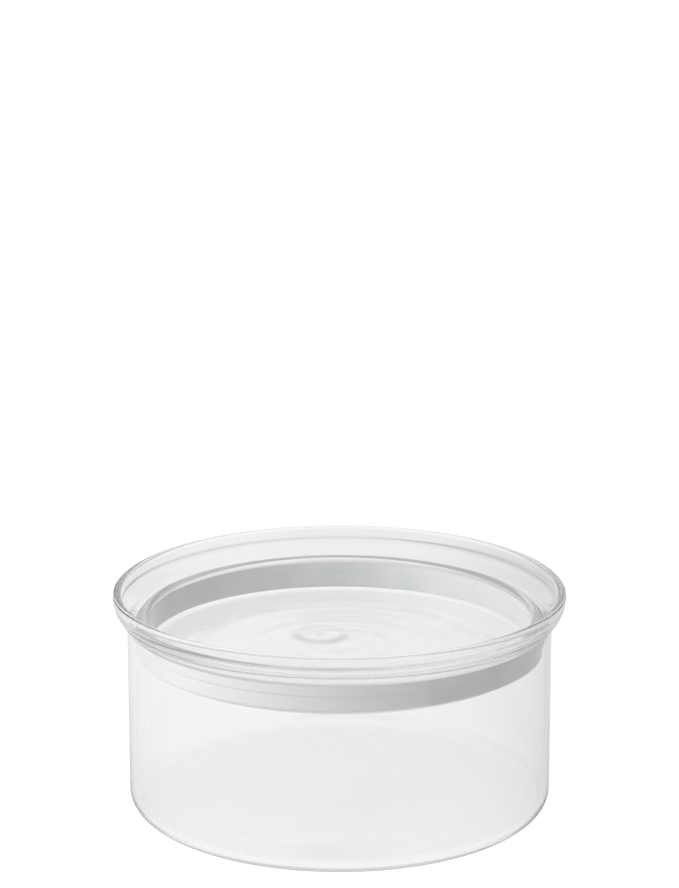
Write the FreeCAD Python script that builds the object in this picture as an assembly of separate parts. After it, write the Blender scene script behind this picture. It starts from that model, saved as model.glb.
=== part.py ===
import FreeCAD
import Part
import math
import os

from FreeCAD import Vector

# Low glass storage jar with a sunk glass lid and a silicone seal, in millimetres.
# The origin is the centre of the base, +Z is up, and every piece is turned about Z.

# Jar body
height = 76.8            # base to the top of the lip
wall_r = 73.3            # outside of the straight wall
wall_t = 2.1
base_t = 2.4
base_corner_r = 5.6      # outside, where the wall turns into the base
floor_corner_r = 3.5     # inside
foot_w = 7.7             # width of the flat ring that the base stands on
push_up = 0.5            # rise of the hollow inside that ring

# Flared neck and lip
lip_out = 4.8            # the lip stands this far out from the wall
lip_swell = 0.8          # the lip is this much thicker than the wall, all on the inside
lip_depth = 2.0          # height of the thick part, between the middles of its rounds
lip_hollow_r = 2.5       # inside, where the lip thins into the neck
lip_run = 1.45           # straight run up to the middle of the top round, outside
lip_lean = 5.0           # degrees from upright
neck_lean = 44.0         # degrees from upright, where the neck leans most
neck_bend_r = 3.0        # first bend, outward
neck_slope = 2.0         # straight run between the bends

# Lid, a dish with a beaded rim
dish_t = 2.0
dish_depth = 12.2        # rim to floor, inside
dish_corner_r = 1.4      # inside
rim_rise = 1.6           # middle of the rim's bead above the start of the neck
rim_bead_r = 1.5
rim_blend_r = 1.2        # hollow between the bead and the outside of the wall
mark_r = 9.0             # soft dip in the middle of the floor
mark_dip = 0.35

# Silicone seal, in two tiers
seal_t = 2.7             # thickness of the upper tier, which grips the jar
seal_h = 9.75
seal_drop = 1.1          # its top lies this far below the middle of the lid's bead
grip_h = 3.95            # height of the upper tier
seal_step = 0.9          # the lower tier stands back by this much
seal_round_r = 0.7
seal_foot_r = 1.5        # larger round at the bottom, which leads the lid in

# Clearances
seal_to_jar = 0.2
seal_to_dish = 0.1

# The second bend turns the leaning neck nearly upright, and its radius follows from lip_out
lip_bead_r = (wall_t + lip_swell) / 2
lean = math.radians(neck_lean)
upright = math.radians(lip_lean)
upturn_r = (
    lip_out - neck_bend_r * (1 - math.cos(lean)) - neck_slope * math.sin(lean)
    - lip_run * math.sin(upright) - lip_bead_r * (1 - math.cos(upright))
) / (math.cos(upright) - math.cos(lean))
flare_h = (
    neck_bend_r * math.sin(lean) + neck_slope * math.cos(lean)
    + upturn_r * (math.sin(lean) - math.sin(upright))
    + lip_bead_r * math.sin(upright) + lip_run * math.cos(upright) + lip_bead_r
)

# Places that several pieces share
foot_r = wall_r - base_corner_r - foot_w         # inside edge of the foot ring
neck_z = height - flare_h                        # top of the straight wall
seal_r = wall_r - wall_t - seal_to_jar
dish_r = seal_r - seal_t - seal_to_dish          # outside of the lid's wall
rim_z = neck_z + rim_rise                        # middle of the lid's bead
dish_floor_z = rim_z + rim_bead_r - dish_depth


def at(r, z):
    return Vector(r, 0, z)


def up_wall(angle):
    """Unit vector up a wall that leans outward by this angle."""
    return at(math.sin(angle), math.cos(angle))


def off_wall(angle):
    """Unit normal on the outside of a wall that leans outward by this angle."""
    return at(math.cos(angle), -math.sin(angle))


def arc(centre, start, end):
    """The shorter arc about centre from start to end."""
    radius = (start - centre).Length
    middle = (start + end) / 2 - centre
    return Part.Arc(start, centre + middle.normalize() * radius, end).toShape()


def cap(middle_z, edge_r, edge_z):
    """Shallow curve from the axis to a level edge."""
    halfway = at(edge_r / 2, edge_z + 0.75 * (middle_z - edge_z))
    return Part.Arc(at(0, middle_z), halfway, at(edge_r, edge_z)).toShape()


def chain(*steps):
    """Edges through points and curves in order, with straight runs between them."""
    edges = []
    last = None
    for step in steps:
        is_point = isinstance(step, Vector)
        start = step if is_point else step.firstVertex(True).Point
        if last is not None and (start - last).Length > 1e-6:
            edges.append(Part.makeLine(last, start))
        if not is_point:
            edges.append(step)
        last = step if is_point else step.lastVertex(True).Point
    return edges


def turned(edges):
    """Solid of revolution about Z from a closed half outline."""
    face = Part.Face(Part.Wire(Part.__sortEdges__(edges)))
    solid = face.revolve(Vector(0, 0, 0), Vector(0, 0, 1), 360)
    if solid.Volume < 0:
        solid.reverse()
    return solid


def blend(bead, along, side, reach, bead_r, blend_r, gap=0.0):
    """Hollow curve from a wall to its bead, moved off the surface by gap.

    along runs up the wall and side points away from it.  reach is the distance
    from the middle of the bead to the wall's surface.
    """
    drop = math.sqrt((bead_r + blend_r) ** 2 - (reach + blend_r) ** 2)
    hub = bead - along * drop + side * (reach + blend_r)
    on_wall = hub - side * (blend_r - gap)
    on_bead = bead + (hub - bead) * ((bead_r + gap) / (bead_r + blend_r))
    return arc(hub, on_wall, on_bead)


def neck_bend(depth):
    """First bend of the neck, on the surface this deep inside the outer one."""
    hub = at(wall_r + neck_bend_r, neck_z)
    radius = neck_bend_r + depth
    return arc(hub, hub - off_wall(0) * radius, hub - off_wall(lean) * radius)


def lip_sides():
    """Both sides of the neck and lip, each from the straight wall to the top."""
    across, down = off_wall(upright), up_wall(upright) * -1
    bend_hub = at(wall_r + neck_bend_r, neck_z)
    turn_hub = bend_hub - off_wall(lean) * (neck_bend_r + upturn_r) + up_wall(lean) * neck_slope
    turn = arc(turn_hub, turn_hub + off_wall(lean) * upturn_r, turn_hub + across * upturn_r)
    bead = turn_hub + across * (upturn_r - lip_bead_r) - down * lip_run
    crown = bead + at(0, lip_bead_r)
    outside = [neck_bend(0), turn, arc(bead, bead + across * lip_bead_r, crown)]

    low = bead + down * lip_depth
    reach = (low - bend_hub).dot(off_wall(lean)) + neck_bend_r + wall_t
    hollow = blend(low, up_wall(lean), off_wall(lean) * -1, reach, lip_bead_r, lip_hollow_r)
    under = arc(low, hollow.lastVertex(True).Point, low - across * lip_bead_r)
    inside = [neck_bend(wall_t), hollow, under, arc(bead, bead - across * lip_bead_r, crown)]
    return outside, inside


def jar():
    inner_r = wall_r - wall_t
    corner = at(wall_r - base_corner_r, base_corner_r)
    bottom_turn = arc(corner, corner - at(0, base_corner_r), corner + at(base_corner_r, 0))
    corner = at(inner_r - floor_corner_r, base_t + floor_corner_r)
    floor_turn = arc(corner, corner - at(0, floor_corner_r), corner + at(floor_corner_r, 0))
    lip_outside, lip_inside = lip_sides()
    outside = chain(cap(push_up, foot_r, 0), bottom_turn, *lip_outside)
    inside = chain(cap(base_t + push_up, foot_r, base_t), floor_turn, *lip_inside)
    axis = chain(at(0, push_up), at(0, base_t + push_up))
    return turned(outside + inside + axis)


def rim_bead():
    """Middle of the lid's bead, which lies flush with the inside of the wall."""
    return at(dish_r - dish_t + rim_bead_r, rim_z)


def rim_hollow(gap=0.0):
    reach = dish_t - rim_bead_r
    return blend(rim_bead(), at(0, 1), at(1, 0), reach, rim_bead_r, rim_blend_r, gap)


def lid_dish():
    inner_r = dish_r - dish_t
    under_z = dish_floor_z - dish_t
    bead = rim_bead()
    crown = bead + at(0, rim_bead_r)
    hollow = rim_hollow()
    corner = at(inner_r - dish_corner_r, dish_floor_z + dish_corner_r)
    outer_turn_r = dish_corner_r + dish_t
    outer_turn = arc(corner, corner - at(0, outer_turn_r), corner + at(outer_turn_r, 0))
    inner_turn = arc(corner, corner - at(0, dish_corner_r), corner + at(dish_corner_r, 0))
    outside = chain(cap(under_z - mark_dip, mark_r, under_z), outer_turn, hollow,
                    arc(bead, hollow.lastVertex(True).Point, crown))
    inside = chain(cap(dish_floor_z - mark_dip, mark_r, dish_floor_z), inner_turn,
                   arc(bead, bead - at(rim_bead_r, 0), crown))
    axis = chain(at(0, under_z - mark_dip), at(0, dish_floor_z - mark_dip))
    return turned(outside + inside + axis)


def round_over(r, z, dr, dz, radius=seal_round_r):
    """Rounded convex corner at (r, z), met along dr, dz from the side it starts on."""
    hub = at(r - radius, z - dz * radius)
    face = hub + at(0, dz * radius)
    wall = hub + at(radius, 0)
    return arc(hub, face, wall) if dr > 0 else arc(hub, wall, face)


def dish_room():
    """The lid's outside moved out by the clearance, as a solid to cut its seat with."""
    bead = rim_bead()
    hollow = rim_hollow(seal_to_dish)
    side = bead + at(rim_bead_r + seal_to_dish, 0)
    outside = chain(at(0, 0), at(dish_r + seal_to_dish, 0), hollow,
                    arc(bead, hollow.lastVertex(True).Point, side), at(0, rim_z), at(0, 0))
    return turned(outside)


def seal_ring():
    top_z = rim_z - seal_drop
    bottom_z = top_z - seal_h
    step_z = top_z - grip_h
    back_r = seal_r - seal_step
    inner_r = dish_r - dish_t            # of the blank, before the lid's seat is cut out of it
    ring = chain(at(inner_r, bottom_z), round_over(back_r, bottom_z, 1, -1, seal_foot_r),
                 at(back_r, step_z), round_over(seal_r, step_z, 1, -1),
                 round_over(seal_r, top_z, -1, 1), at(inner_r, top_z), at(inner_r, bottom_z))
    return turned(ring).cut(dish_room()).Solids[0]


os.makedirs("parts", exist_ok=True)
for name, shape in {"jar": jar(), "lid_dish": lid_dish(), "seal_ring": seal_ring()}.items():
    print(name, "valid" if shape.isValid() else "NOT VALID", round(shape.Volume / 1000, 2), "cm3")
    shape.exportStep("parts/" + name + ".step")
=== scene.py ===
import bmesh
import bpy
import math
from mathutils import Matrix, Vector


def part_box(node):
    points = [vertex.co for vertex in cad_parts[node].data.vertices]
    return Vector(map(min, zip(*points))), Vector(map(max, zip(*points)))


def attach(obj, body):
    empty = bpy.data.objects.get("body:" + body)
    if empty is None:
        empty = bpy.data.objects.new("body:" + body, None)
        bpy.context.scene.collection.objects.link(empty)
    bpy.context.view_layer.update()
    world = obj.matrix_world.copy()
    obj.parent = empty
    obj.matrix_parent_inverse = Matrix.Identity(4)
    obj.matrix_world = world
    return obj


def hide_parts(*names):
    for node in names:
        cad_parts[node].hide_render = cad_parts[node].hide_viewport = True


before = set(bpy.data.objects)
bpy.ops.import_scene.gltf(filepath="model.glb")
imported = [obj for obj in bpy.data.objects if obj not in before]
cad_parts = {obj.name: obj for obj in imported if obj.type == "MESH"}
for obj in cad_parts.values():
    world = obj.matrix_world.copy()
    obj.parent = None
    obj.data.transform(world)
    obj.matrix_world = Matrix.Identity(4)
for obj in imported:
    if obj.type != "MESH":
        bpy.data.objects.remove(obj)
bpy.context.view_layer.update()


def startOutline(r, z):
    # a half outline is drawn in the XZ plane, point by point, then spun about Z
    bm = bmesh.new()
    return bm, bm.verts.new((r, 0, z))


def lineTo(bm, tip, r, z):
    tip = bmesh.ops.extrude_vert_indiv(bm, verts=[tip])["verts"][0]
    tip.co = (r, 0, z)
    return tip


def wallTo(bm, tip, goal, hold=0.00025):
    # straight run, held close to both ends so that its shading stays flat
    start = Vector((tip.co.x, tip.co.z))
    goal = Vector(goal)
    run = goal - start
    if run.length > 3 * hold:
        for place in (start + run.normalized() * hold, goal - run.normalized() * hold):
            tip = lineTo(bm, tip, place.x, place.y)
    return lineTo(bm, tip, goal.x, goal.y)


def arcTo(bm, tip, hub, goal, steps):
    # the shorter arc about hub, which ends towards goal
    first = math.atan2(tip.co.x - hub[0], tip.co.z - hub[1])
    last = math.atan2(goal[0] - hub[0], goal[1] - hub[1])
    turn = (last - first + math.pi) % (2 * math.pi) - math.pi
    made = bmesh.ops.spin(bm, geom=[tip], cent=(hub[0], 0, hub[1]), axis=(0, 1, 0), angle=turn,
                          steps=steps, use_merge=False, use_duplicate=False)
    return [part for part in made["geom_last"] if isinstance(part, bmesh.types.BMVert)][0]


def spinOutline(bm, name, steps, weld=1e-7):
    bmesh.ops.remove_doubles(bm, verts=bm.verts, dist=weld)
    bmesh.ops.spin(bm, geom=bm.verts[:] + bm.edges[:], cent=(0, 0, 0), axis=(0, 0, 1),
                   angle=2 * math.pi, steps=steps, use_merge=True, use_duplicate=False)
    bmesh.ops.remove_doubles(bm, verts=bm.verts, dist=weld)
    bmesh.ops.recalc_face_normals(bm, faces=bm.faces)
    for face in bm.faces:
        face.smooth = True
    mesh = bpy.data.meshes.new(name)
    bm.to_mesh(mesh)
    bm.free()
    piece = bpy.data.objects.new(name, mesh)
    bpy.context.scene.collection.objects.link(piece)
    return piece


def hollowHub(bead, up, side, reach, beadR, hollowR):
    # middle of the hollow curve between a straight wall and the bead at its edge
    drop = math.sqrt((beadR + hollowR) ** 2 - (reach + hollowR) ** 2)
    return bead - up * drop + side * (reach + hollowR)


def wallAxes(angle):
    # unit vectors off and up the outside of a wall that leans out by this angle
    return Vector((math.cos(angle), -math.sin(angle))), Vector((math.sin(angle), math.cos(angle)))


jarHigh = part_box("jar")[1]
inset = 0.00001              # keeps the glass inside its box
jar = {
    "lipR": jarHigh.x - inset,
    "height": jarHigh.z - inset,
    "lipOut": 0.0048,        # the lip stands this far out from the wall
    "wallT": 0.0021,
    "baseT": 0.0024,
    "baseCornerR": 0.0056,
    "floorCornerR": 0.0035,
    "footW": 0.0077,
    "pushUp": 0.0005,
    "lipSwell": 0.0008,      # extra thickness of the lip, all on the inside
    "lipRun": 0.00145,
    "lipLean": 5.0,
    "neckLean": 44.0,
    "neckBendR": 0.0030,
    "neckSlope": 0.0020,
    "lipDepth": 0.0020,      # height of the thick part, between the middles of its rounds
    "hollowR": 0.0025,       # inner hollow, where the lip thins into the neck
    "domeSteps": 8,          # along each curve of the outline
    "cornerSteps": 20,
    "floorSteps": 14,
    "bendSteps": 14,
    "turnSteps": 20,
    "beadSteps": 14,
    "underSteps": 8,
    "hollowSteps": 16,
    "spinSteps": 480,
}


def makeJar(j):
    wallT, bendR = j["wallT"], j["neckBendR"]
    wallR = j["lipR"] - j["lipOut"]
    innerR = wallR - wallT
    beadR = (wallT + j["lipSwell"]) / 2
    lean, upright = math.radians(j["neckLean"]), math.radians(j["lipLean"])
    offLean, upLean = wallAxes(lean)
    offLip, upLip = wallAxes(upright)

    # the upturn's radius follows from how far the lip stands out, and the neck's height from the jar's
    turnR = (j["lipOut"] - bendR * (1 - math.cos(lean)) - j["neckSlope"] * math.sin(lean)
             - j["lipRun"] * math.sin(upright) - beadR * (1 - math.cos(upright)))
    turnR /= math.cos(upright) - math.cos(lean)
    rise = (bendR * math.sin(lean) + j["neckSlope"] * math.cos(lean)
            + turnR * (math.sin(lean) - math.sin(upright))
            + beadR * math.sin(upright) + j["lipRun"] * math.cos(upright) + beadR)
    neckZ = j["height"] - rise
    bendHub = Vector((wallR + bendR, neckZ))
    turnHub = bendHub - offLean * (bendR + turnR) + upLean * j["neckSlope"]
    bead = turnHub + offLip * (turnR - beadR) + upLip * j["lipRun"]

    lowBead = bead - upLip * j["lipDepth"]
    reach = offLean.dot(lowBead - bendHub) + bendR + wallT
    lipHub = hollowHub(lowBead, upLean, -offLean, reach, beadR, j["hollowR"])

    footR = wallR - j["baseCornerR"] - j["footW"]
    domeR = (footR ** 2 + j["pushUp"] ** 2) / (2 * j["pushUp"])
    outCorner = Vector((wallR - j["baseCornerR"], j["baseCornerR"]))
    inCorner = Vector((innerR - j["floorCornerR"], j["baseT"] + j["floorCornerR"]))

    bm, tip = startOutline(0, j["pushUp"])
    tip = arcTo(bm, tip, (0, j["pushUp"] - domeR), (footR, 0), j["domeSteps"])
    tip = wallTo(bm, tip, (outCorner.x, 0))
    tip = arcTo(bm, tip, outCorner, (wallR, outCorner.y), j["cornerSteps"])
    tip = wallTo(bm, tip, (wallR, neckZ))
    tip = arcTo(bm, tip, bendHub, bendHub - offLean, j["bendSteps"])
    tip = wallTo(bm, tip, turnHub + offLean * turnR)
    tip = arcTo(bm, tip, turnHub, turnHub + offLip, j["turnSteps"])
    tip = wallTo(bm, tip, bead + offLip * beadR)
    tip = arcTo(bm, tip, bead, bead + Vector((0, 1)), j["beadSteps"])
    tip = arcTo(bm, tip, bead, bead - offLip, j["beadSteps"])
    tip = wallTo(bm, tip, lowBead - offLip * beadR)
    tip = arcTo(bm, tip, lowBead, lipHub, j["underSteps"])
    tip = arcTo(bm, tip, lipHub, lipHub + offLean, j["hollowSteps"])
    tip = wallTo(bm, tip, bendHub - offLean * (bendR + wallT))
    tip = arcTo(bm, tip, bendHub, (wallR, neckZ), j["bendSteps"])
    tip = wallTo(bm, tip, (innerR, inCorner.y))
    tip = arcTo(bm, tip, inCorner, (inCorner.x, j["baseT"]), j["floorSteps"])
    tip = wallTo(bm, tip, (footR, j["baseT"]))
    arcTo(bm, tip, (0, j["baseT"] + j["pushUp"] - domeR), (0, j["baseT"] + j["pushUp"]), j["domeSteps"])
    print("jar: neck starts at", round(neckZ, 5), "and the upturn's radius is", round(turnR, 5))
    return spinOutline(bm, "glassJar", j["spinSteps"]), neckZ


glassJar, neckZ = makeJar(jar)


lid = {
    "rimRise": 0.0016,       # the rim's middle stands this far above the neck's start
    "depth": 0.0122,
    "glassT": 0.0020,
    "wallR": 0.0682,
    "cornerR": 0.0014,
    "beadR": 0.0015,
    "hollowR": 0.0012,
    "markR": 0.0090,
    "markDip": 0.00035,
    "dipSteps": 10,          # along each curve of the outline
    "outerSteps": 14,
    "innerSteps": 12,
    "hollowSteps": 8,
    "beadSteps": 12,
    "spinSteps": 480,
}


def makeLid(d):
    up, side = Vector((0, 1)), Vector((1, 0))
    innerR = d["wallR"] - d["glassT"]
    bead = Vector((innerR + d["beadR"], neckZ + d["rimRise"]))
    hub = hollowHub(bead, up, side, d["glassT"] - d["beadR"], d["beadR"], d["hollowR"])
    floorZ = bead.y + d["beadR"] - d["depth"]
    underZ = floorZ - d["glassT"]
    corner = Vector((innerR - d["cornerR"], floorZ + d["cornerR"]))
    dipR = (d["markR"] ** 2 + d["markDip"] ** 2) / (4 * d["markDip"])
    halfR, halfDip = d["markR"] / 2, d["markDip"] / 2

    bm, tip = startOutline(0, underZ - d["markDip"])
    tip = arcTo(bm, tip, (0, underZ - d["markDip"] + dipR), (halfR, underZ - halfDip), d["dipSteps"])
    tip = arcTo(bm, tip, (d["markR"], underZ - dipR), (d["markR"], underZ), d["dipSteps"])
    tip = wallTo(bm, tip, (corner.x, underZ))
    tip = arcTo(bm, tip, corner, (d["wallR"], corner.y), d["outerSteps"])
    tip = wallTo(bm, tip, (d["wallR"], hub.y))
    tip = arcTo(bm, tip, hub, bead, d["hollowSteps"])
    tip = arcTo(bm, tip, bead, bead + up, d["beadSteps"])
    tip = arcTo(bm, tip, bead, bead - side, d["beadSteps"])
    tip = wallTo(bm, tip, (innerR, corner.y))
    tip = arcTo(bm, tip, corner, (corner.x, floorZ), d["innerSteps"])
    tip = wallTo(bm, tip, (d["markR"], floorZ))
    tip = arcTo(bm, tip, (d["markR"], floorZ - dipR), (halfR, floorZ - halfDip), d["dipSteps"])
    arcTo(bm, tip, (0, floorZ - d["markDip"] + dipR), (0, floorZ - d["markDip"]), d["dipSteps"])
    print("lid: rim top at", round(bead.y + d["beadR"], 5), "and floor at", round(floorZ, 5))
    return spinOutline(bm, "glassLid", d["spinSteps"]), bead, hub


glassLid, rimBead, rimHub = makeLid(lid)


seal = {
    "outerR": 0.0710,
    "drop": 0.0011,          # the top lies this far below the middle of the lid's rim
    "height": 0.00975,
    "gripH": 0.00395,
    "step": 0.0009,
    "roundR": 0.0007,
    "footRoundR": 0.0015,    # larger round at the bottom, which leads the lid in
    "gap": 0.0001,           # to the lid's glass
    "footSteps": 10,         # along each curve of the outline
    "roundSteps": 6,
    "grooveSteps": 6,
    "hollowSteps": 8,
    "spinSteps": 320,
}


def makeSeal(s):
    top = rimBead.y - s["drop"]
    bottom, stepZ = top - s["height"], top - s["gripH"]
    outerR, backR, roundR = s["outerR"], s["outerR"] - s["step"], s["roundR"]
    footRound = Vector((backR - s["footRoundR"], bottom + s["footRoundR"]))
    footR = lid["wallR"] + s["gap"]
    bm, tip = startOutline(footR, bottom)
    tip = wallTo(bm, tip, (footRound.x, bottom))
    tip = arcTo(bm, tip, footRound, (backR, footRound.y), s["footSteps"])
    tip = wallTo(bm, tip, (backR, stepZ))
    tip = wallTo(bm, tip, (outerR - roundR, stepZ))
    tip = arcTo(bm, tip, (outerR - roundR, stepZ + roundR), (outerR, stepZ + roundR), s["roundSteps"])
    tip = wallTo(bm, tip, (outerR, top - roundR))
    tip = arcTo(bm, tip, (outerR - roundR, top - roundR), (outerR - roundR, top), s["roundSteps"])
    grooveR = lid["beadR"] + s["gap"]
    tip = wallTo(bm, tip, (rimBead.x + math.sqrt(grooveR ** 2 - s["drop"] ** 2), top))
    tip = arcTo(bm, tip, rimBead, rimHub, s["grooveSteps"])
    tip = arcTo(bm, tip, rimHub, (footR, rimHub.y), s["hollowSteps"])
    wallTo(bm, tip, (footR, bottom))
    print("seal: from", round(bottom, 5), "to", round(top, 5))
    return spinOutline(bm, "siliconeSeal", s["spinSteps"])


siliconeSeal = makeSeal(seal)


def newMaterial(name):
    material = bpy.data.materials.new(name)
    material.use_nodes = True
    material.node_tree.nodes.clear()
    return material, material.node_tree


def plug(tree, value, socket):
    # the value is a number or another socket
    if isinstance(value, (int, float)):
        socket.default_value = value
    else:
        tree.links.new(value, socket)


def maths(tree, operation, first, second=0):
    node = tree.nodes.new("ShaderNodeMath")
    node.operation = operation
    plug(tree, first, node.inputs[0])
    plug(tree, second, node.inputs[1])
    return node.outputs["Value"]


def ramp(tree, source, span, levels):
    # smooth change from one level to the other over the span
    node = tree.nodes.new("ShaderNodeMapRange")
    node.interpolation_type = "SMOOTHSTEP"
    tree.links.new(source, node.inputs["Value"])
    for socket, value in zip(("From Min", "From Max", "To Min", "To Max"), (*span, *levels)):
        node.inputs[socket].default_value = value
    return node.outputs["Result"]


def noise(tree, place, scale, detail):
    node = tree.nodes.new("ShaderNodeTexNoise")
    node.inputs["Scale"].default_value = scale
    node.inputs["Detail"].default_value = detail
    tree.links.new(place, node.inputs["Vector"])
    return node.outputs["Fac"]


def colourMix(tree, factor, low, high):
    mix = tree.nodes.new("ShaderNodeMix")
    mix.data_type = "RGBA"
    mix.inputs["A"].default_value = (*low, 1)
    mix.inputs["B"].default_value = (*high, 1)
    tree.links.new(factor, mix.inputs["Factor"])
    return mix.outputs["Result"]


def levelMix(tree, factor, low, high):
    mix = tree.nodes.new("ShaderNodeMix")
    mix.data_type = "FLOAT"
    tree.links.new(factor, mix.inputs["Factor"])
    plug(tree, low, mix.inputs["A"])
    plug(tree, high, mix.inputs["B"])
    return mix.outputs["Result"]


def bump(tree, height, strength, distance):
    node = tree.nodes.new("ShaderNodeBump")
    node.inputs["Strength"].default_value = strength
    node.inputs["Distance"].default_value = distance
    tree.links.new(height, node.inputs["Height"])
    return node.outputs["Normal"]


def splitAxes(tree, place):
    node = tree.nodes.new("ShaderNodeSeparateXYZ")
    tree.links.new(place, node.inputs["Vector"])
    return node.outputs


def lengthOf(tree, x, y):
    squares = [maths(tree, "MULTIPLY", value, value) for value in (x, y)]
    return maths(tree, "SQRT", maths(tree, "ADD", *squares))


def softRing(tree, radius, ringR, halfWidth, level):
    offset = maths(tree, "ABSOLUTE", maths(tree, "SUBTRACT", radius, ringR))
    return ramp(tree, offset, (0, halfWidth), (level, 0))


glass = {
    "tint": (0.987, 0.990, 0.988),
    "shadowTint": (0.985, 0.988, 0.988),
    "ior": 1.47,
    "waveScale": 38.0,       # slow unevenness of the pressed floors, in waves a metre
    "waveDetail": 1.0,
    "waveHeight": 0.00005,
    "waveSpan": (0.048, 0.058),   # the waves fade out here, and the walls are drawn true
    # soft rings that turning leaves: radius, half width and height
    "jarRings": ((0.0520, 0.0040, 0.00004), (0.0, 0.0040, 0.00009)),
    "lidRings": ((0.0465, 0.0060, 0.00016), (0.0290, 0.0055, 0.00007), (0.0170, 0.0040, 0.00008)),
    # painted shade in rings at the scars left by the gather, standing in for light that their edges bend
    # away: radius, half width and share of the glass colour that it takes away
    "jarPaintedShade": ((0.0300, 0.0300, 0.015),),
    "lidPaintedShade": ((0.0085, 0.0032, 0.28), (0.0, 0.0024, 0.22)),
    "paintedShadePlace": (-0.0066, 0.0125),   # the painted shade lies a little off the middle
    "paintedShadeFade": 0.75,        # how much fainter the painted shade is on its far side
    "paintedShadeSpan": (-0.006, 0.003),
}


def floorHeight(tree, g, place, axes, rings):
    # slow waves over the floor, and its soft rings
    height = maths(tree, "MULTIPLY", noise(tree, place, g["waveScale"], g["waveDetail"]), g["waveHeight"])
    radius = lengthOf(tree, axes["X"], axes["Y"])
    for ring in rings:
        height = maths(tree, "ADD", height, softRing(tree, radius, *ring))
    return maths(tree, "MULTIPLY", height, ramp(tree, radius, g["waveSpan"], (1, 0)))


def paintedShadeLevel(tree, g, axes, paintedShades):
    # painted shade: share of the glass colour kept at the scars, whose dark rings are fainter on the far
    # side
    scarX = maths(tree, "SUBTRACT", axes["X"], g["paintedShadePlace"][0])
    scarY = maths(tree, "SUBTRACT", axes["Y"], g["paintedShadePlace"][1])
    radius = lengthOf(tree, scarX, scarY)
    faint = ramp(tree, scarY, g["paintedShadeSpan"], (0, g["paintedShadeFade"]))
    level = 1.0
    for markR, halfWidth, darkening in paintedShades:
        shade = softRing(tree, radius, markR, halfWidth, darkening)
        if markR > 0:
            shade = maths(tree, "MULTIPLY", shade, maths(tree, "SUBTRACT", 1.0, faint))
        level = maths(tree, "SUBTRACT", level, shade)
    return level


def glassMaterial(name, g, rings, paintedShades):
    material, tree = newMaterial(name)
    clear = tree.nodes.new("ShaderNodeBsdfPrincipled")
    clear.inputs["Roughness"].default_value = 0.0
    clear.inputs["IOR"].default_value = g["ior"]
    clear.inputs["Transmission Weight"].default_value = 1.0
    place = tree.nodes.new("ShaderNodeTexCoord").outputs["Object"]
    axes = splitAxes(tree, place)
    # the glass colour is darkened here by painted shade in rings at the scars
    tint = colourMix(tree, paintedShadeLevel(tree, g, axes, paintedShades), (0, 0, 0), g["tint"])
    tree.links.new(tint, clear.inputs["Base Color"])
    normal = bump(tree, floorHeight(tree, g, place, axes, rings), 1, 1)   # the heights are in metres
    tree.links.new(normal, clear.inputs["Normal"])

    # light on its way to the floor or the seal passes straight through
    passing = tree.nodes.new("ShaderNodeBsdfTransparent")
    passing.inputs["Color"].default_value = (*g["shadowTint"], 1)
    rays = tree.nodes.new("ShaderNodeLightPath").outputs
    mix = tree.nodes.new("ShaderNodeMixShader")
    tree.links.new(maths(tree, "MAXIMUM", rays["Is Shadow Ray"], rays["Is Diffuse Ray"]), mix.inputs["Fac"])
    tree.links.new(clear.outputs["BSDF"], mix.inputs[1])
    tree.links.new(passing.outputs["BSDF"], mix.inputs[2])
    output = tree.nodes.new("ShaderNodeOutputMaterial")
    tree.links.new(mix.outputs["Shader"], output.inputs["Surface"])
    return material


silicone = {
    "colour": (0.80, 0.81, 0.80),
    "shade": (0.74, 0.755, 0.745),   # in the faint cloudiness of the moulding
    "cloudScale": 55.0,
    "cloudDetail": 3.0,
    "cloudSpan": (0.30, 0.55),
    "roughness": (0.38, 0.48),
    "roughnessSpan": (0.35, 0.65),
    "specular": 0.35,
    "grainScale": 2600.0,
    "grainDetail": 2.0,
    "grainStrength": 0.6,
    "grainHeight": 0.000012,
}


def sealMaterial(s):
    material, tree = newMaterial("sealSilicone")
    skin = tree.nodes.new("ShaderNodeBsdfPrincipled")
    skin.inputs["Specular IOR Level"].default_value = s["specular"]
    place = tree.nodes.new("ShaderNodeTexCoord").outputs["Object"]
    cloud = noise(tree, place, s["cloudScale"], s["cloudDetail"])
    colour = colourMix(tree, ramp(tree, cloud, s["cloudSpan"], (0, 1)), s["shade"], s["colour"])
    tree.links.new(colour, skin.inputs["Base Color"])
    tree.links.new(ramp(tree, cloud, s["roughnessSpan"], s["roughness"]), skin.inputs["Roughness"])
    grain = noise(tree, place, s["grainScale"], s["grainDetail"])
    tree.links.new(bump(tree, grain, s["grainStrength"], s["grainHeight"]), skin.inputs["Normal"])
    output = tree.nodes.new("ShaderNodeOutputMaterial")
    tree.links.new(skin.outputs["BSDF"], output.inputs["Surface"])
    return material


glassJar.data.materials.append(glassMaterial("jarGlass", glass, glass["jarRings"], glass["jarPaintedShade"]))
glassLid.data.materials.append(glassMaterial("lidGlass", glass, glass["lidRings"], glass["lidPaintedShade"]))
siliconeSeal.data.materials.append(sealMaterial(silicone))
print("materials made")

for piece, node, slotName in ((glassJar, "jar", "jar_glass"), (glassLid, "lid_dish", "lid_glass"),
                              (siliconeSeal, "seal_ring", "seal_silicone")):
    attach(piece, "root")
    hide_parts(node)


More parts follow.
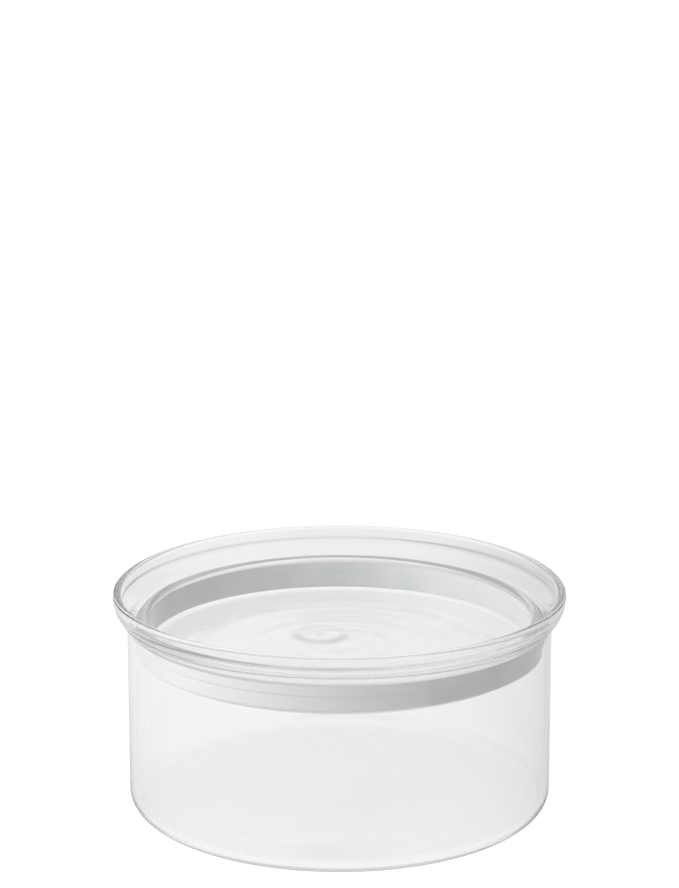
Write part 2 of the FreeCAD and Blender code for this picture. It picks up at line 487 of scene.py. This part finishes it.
paperFloor = {
    "half": 8.0,
    "paper": 0.30,           # its own colour, which takes the shadow
    "tint": (0.979, 0.971, 1.0),   # of its glow
    "seen": 0.92,            # glow that the camera sees
    "diffuse": 0.47,         # glow that lights the seal
    # glow seen through glass, by distance from the jar
    "through": ((0.0, 0.776), (0.17, 0.776), (0.27, 0.72), (0.42, 0.73), (0.80, 0.65), (2.0, 0.61)),
    "right": 0.71,           # share of it that is left on the right
    "rightSpan": (0.03, 0.16),
    "flank": 0.96,           # and behind the jar, off to either side
    "flankSpan": (0.04, 0.09),
    "flankBackSpan": (0.14, 0.21),
    "side": 0.06,            # far out to both sides, where the dark lines in the glass come from
    "sideSpan": (0.45, 0.80),
    "farSpan": (0.55, 0.80),
    "mirrored": (0.0, 0.6),  # glow mirrored in glass, in front and behind
    "mirroredSpan": (-0.2, 0.25),
}


def glowThrough(tree, f, place, axes):
    length = tree.nodes.new("ShaderNodeVectorMath")
    length.operation = "LENGTH"
    tree.links.new(place, length.inputs[0])
    distance = length.outputs["Value"]
    levels = tree.nodes.new("ShaderNodeValToRGB")
    stops = levels.color_ramp.elements
    stops.remove(stops[1])
    reachOut = f["through"][-1][0]
    for i, (stopAt, level) in enumerate(f["through"]):
        stop = stops[0] if i == 0 else stops.new(stopAt / reachOut)
        stop.color = (level, level, level, 1)
    tree.links.new(maths(tree, "DIVIDE", distance, reachOut), levels.inputs["Fac"])
    toRight = ramp(tree, axes["X"], f["rightSpan"], (1, f["right"]))
    near = maths(tree, "MULTIPLY", levels.outputs["Color"], toRight)
    sideways = maths(tree, "ABSOLUTE", axes["X"])
    flank = maths(tree, "MULTIPLY", ramp(tree, sideways, f["flankSpan"], (0, 1)),
                  ramp(tree, axes["Y"], f["flankBackSpan"], (0, 1)))
    near = maths(tree, "MULTIPLY", near, levelMix(tree, flank, 1, f["flank"]))
    farAside = maths(tree, "MULTIPLY", ramp(tree, sideways, f["sideSpan"], (0, 1)),
                     ramp(tree, distance, f["farSpan"], (0, 1)))
    return levelMix(tree, farAside, near, f["side"])


def makeFloor(f):
    bm = bmesh.new()
    bmesh.ops.create_grid(bm, x_segments=1, y_segments=1, size=f["half"])
    mesh = bpy.data.meshes.new("studioFloor")
    bm.to_mesh(mesh)
    bm.free()
    floor = bpy.data.objects.new("studioFloor", mesh)
    bpy.context.scene.collection.objects.link(floor)
    material, tree = newMaterial("studioPaper")
    place = tree.nodes.new("ShaderNodeTexCoord").outputs["Object"]
    axes = splitAxes(tree, place)
    mirrored = ramp(tree, axes["Y"], f["mirroredSpan"], f["mirrored"])
    rays = tree.nodes.new("ShaderNodeLightPath").outputs
    strength = levelMix(tree, rays["Is Glossy Ray"], f["diffuse"], mirrored)
    strength = levelMix(tree, rays["Is Transmission Ray"], strength, glowThrough(tree, f, place, axes))
    strength = levelMix(tree, rays["Is Camera Ray"], strength, f["seen"])
    glow = tree.nodes.new("ShaderNodeEmission")
    glow.inputs["Color"].default_value = (*f["tint"], 1)
    tree.links.new(strength, glow.inputs["Strength"])
    paper = tree.nodes.new("ShaderNodeBsdfDiffuse")
    paper.inputs["Color"].default_value = (f["paper"], f["paper"], f["paper"], 1)
    add = tree.nodes.new("ShaderNodeAddShader")
    tree.links.new(paper.outputs["BSDF"], add.inputs[0])
    tree.links.new(glow.outputs["Emission"], add.inputs[1])
    output = tree.nodes.new("ShaderNodeOutputMaterial")
    tree.links.new(add.outputs["Shader"], output.inputs["Surface"])
    mesh.materials.append(material)


sky = {
    "diffuse": 0.425,        # light on the seal and floor, and the sky seen through the glass
    # the rest is the sky mirrored in the glass
    "front": 0.04,
    "back": 0.75,
    "backSpan": (-0.1, 0.6),
    "side": 0.46,            # off to either side
    "sideSpan": (0.40, 0.60),
    "top": 0.72,
    "topSpan": (0.55, 0.85),
    "window": 0.80,          # on the right, which lights the lip's right end
    "windowSpan": (0.28, 0.45),
    "windowBackSpan": (0.35, 0.60),
    "horizon": 0.06,         # low on the left
    "horizonSpan": (-0.30, -0.12),
    "horizonTopSpan": (0.10, 0.18),
}


def makeSky(s):
    world = bpy.data.worlds.new("studioSky")
    bpy.context.scene.world = world
    world.use_nodes = True
    tree = world.node_tree
    tree.nodes.clear()
    axes = splitAxes(tree, tree.nodes.new("ShaderNodeTexCoord").outputs["Generated"])
    sideways = maths(tree, "ABSOLUTE", axes["X"])
    around = ramp(tree, axes["Y"], s["backSpan"], (s["front"], s["back"]))
    around = levelMix(tree, ramp(tree, sideways, s["sideSpan"], (0, 1)), around, s["side"])
    overhead = ramp(tree, axes["Z"], s["topSpan"], (0, s["top"]))
    window = maths(tree, "MULTIPLY", ramp(tree, axes["X"], s["windowSpan"], (0, s["window"])),
                   ramp(tree, axes["Y"], s["windowBackSpan"], (1, 0)))
    horizon = maths(tree, "MULTIPLY", ramp(tree, axes["X"], s["horizonSpan"], (1, 0)),
                    ramp(tree, axes["Z"], s["horizonTopSpan"], (1, 0)))
    seen = maths(tree, "MAXIMUM", maths(tree, "MAXIMUM", around, overhead), window)
    seen = levelMix(tree, horizon, seen, s["horizon"])
    rays = tree.nodes.new("ShaderNodeLightPath").outputs
    strength = levelMix(tree, rays["Is Glossy Ray"], s["diffuse"], seen)
    strength = levelMix(tree, rays["Is Camera Ray"], strength, 1)
    back = tree.nodes.new("ShaderNodeBackground")
    back.inputs["Color"].default_value = (1, 1, 1, 1)
    tree.links.new(strength, back.inputs["Strength"])
    output = tree.nodes.new("ShaderNodeOutputWorld")
    tree.links.new(back.outputs["Background"], output.inputs["Surface"])


softboxes = {
    "softboxLeft": {"place": (-0.81, -0.59, 0.45), "size": (1.5, 0.8), "power": 5.4, "aimZ": 0.04},
    "softboxSide": {"place": (-1.10, -0.20, 0.35), "size": (0.7, 0.7), "power": 4.6, "aimZ": 0.06},
}


def makeLamp(name, b):
    lamp = bpy.data.lights.new(name, "AREA")
    lamp.shape = "RECTANGLE"
    lamp.size, lamp.size_y = b["size"]
    lamp.energy = b["power"]
    thing = bpy.data.objects.new(name, lamp)
    thing.location = b["place"]
    aim = Vector((0, 0, b["aimZ"])) - Vector(b["place"])
    thing.rotation_euler = aim.to_track_quat("-Z", "Y").to_euler()
    bpy.context.scene.collection.objects.link(thing)
    # the glass mirrors the sky and floor alone, with no sharp lamp edges in it
    thing.visible_camera = thing.visible_glossy = thing.visible_transmission = False


makeFloor(paperFloor)
makeSky(sky)
for name, softbox in softboxes.items():
    makeLamp(name, softbox)


camera = {
    "distance": 1.0,         # from the jar's axis at hubZ
    "hubZ": 0.068,
    "elevation": 17.65,
    "pitch": 14.34,          # flatter than the elevation, so the jar stands low in the picture
    "lens": 117.05,
    "sensor": 36,
    "clip": (0.05, 40),
}


def makeCamera(c):
    data = bpy.data.cameras.new("studioCamera")
    data.lens = c["lens"]
    data.sensor_width = c["sensor"]
    data.clip_start, data.clip_end = c["clip"]
    thing = bpy.data.objects.new("studioCamera", data)
    rise = math.radians(c["elevation"])
    thing.location = (0, -c["distance"] * math.cos(rise), c["hubZ"] + c["distance"] * math.sin(rise))
    thing.rotation_euler = (math.radians(90 - c["pitch"]), 0, 0)
    bpy.context.scene.collection.objects.link(thing)
    bpy.context.scene.camera = thing


makeCamera(camera)
scene = bpy.context.scene
scene.view_settings.view_transform = "Standard"
bounces = 160                # light is mirrored many times inside the lip and under the seal
scene.cycles.max_bounces = bounces
scene.cycles.transmission_bounces = bounces
scene.cycles.glossy_bounces = bounces
scene.cycles.transparent_max_bounces = 32
scene.cycles.caustics_reflective = False
scene.cycles.caustics_refractive = False
print("studio and camera made")
